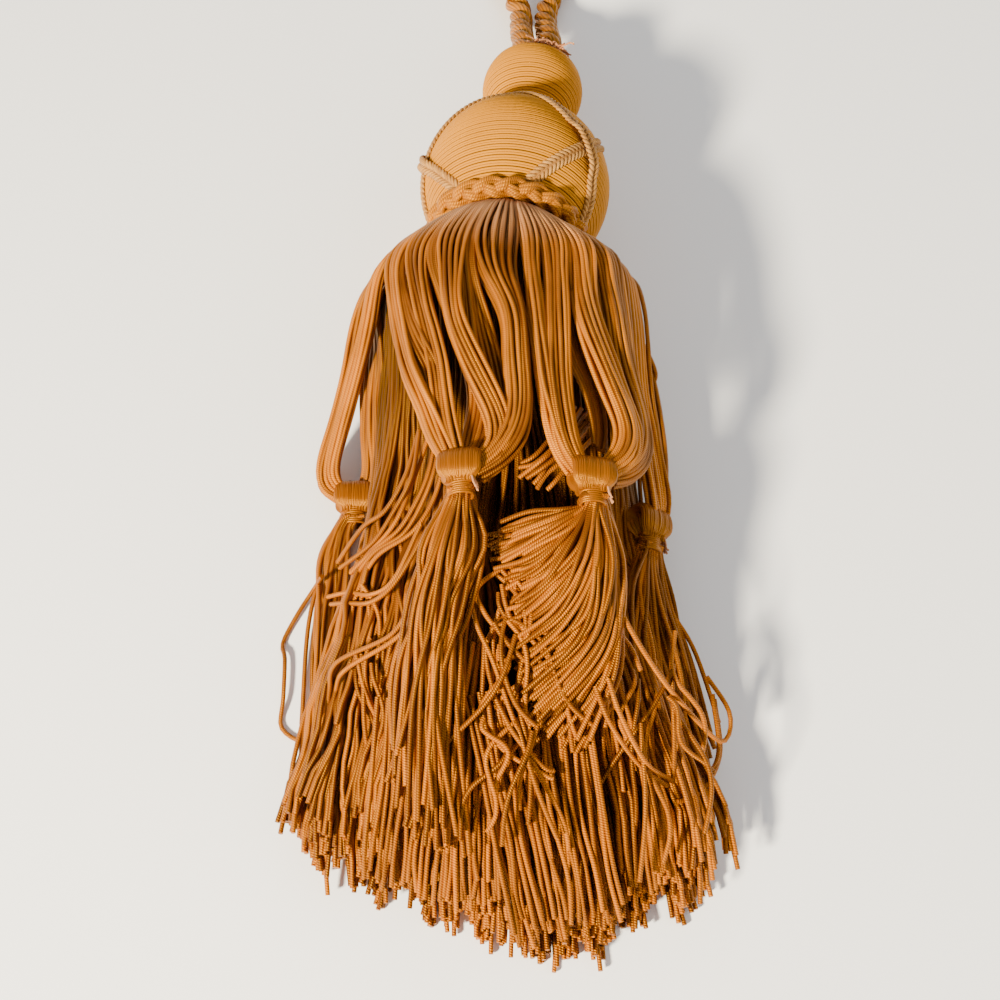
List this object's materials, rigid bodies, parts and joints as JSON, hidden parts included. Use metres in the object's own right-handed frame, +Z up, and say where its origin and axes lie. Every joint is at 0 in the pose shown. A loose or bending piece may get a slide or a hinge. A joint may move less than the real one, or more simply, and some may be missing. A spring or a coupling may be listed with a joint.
{
  "type": "curtain tieback tassel with rope loop",
  "caption": "Curtain tieback tassel lying flat: wound ball and bead head under crossed braids, looped hanks with small tassels over a cut cord skirt, on a twisted rope loop.",
  "frame": {"origin": "on the surface it lies on, at the middle of the area that the tassel covers without its rope", "axes": "+Y along the tassel from the skirt's cut ends towards the rope; +Z up from the surface; +X to the right, seen from above with the rope away from the viewer"},
  "size_m": [0.1332, 0.5296, 0.0678],
  "materials": {
    "winding_cord": "soft satin sheen, fine cord wound in rings, light gold",
    "gimp_braid": "soft satin sheen, herringbone braid, pale gold",
    "ruff_plait": "soft satin sheen, plaited cord, gold",
    "rope_yarn": "soft satin sheen, three-ply twisted rope, deep gold",
    "skirt_cord": "soft sheen, fine knitted cord, golden brown",
    "satin_binding": "satin floss folded and bound, bright gold",
    "whipping_thread": "matt thread with a frayed edge, pinkish gold"
  },
  "bodies": {
    "root": {"ball": "winding_cord", "bead": "winding_cord", "gimp_braid_1": "gimp_braid", "gimp_braid_2": "gimp_braid", "gimp_braid_3": "gimp_braid", "ruff": "ruff_plait", "rope_loop": "rope_yarn", "rope_whipping": "whipping_thread", "outer_skirt": "skirt_cord", "inner_skirt": "skirt_cord", "side_tassel_1": "satin_binding", "side_tassel_2": "satin_binding", "side_tassel_3": "satin_binding", "side_tassel_4": "satin_binding", "side_tassel_5": "satin_binding", "side_tassel_6": "satin_binding"}
  },
  "joints": []
}
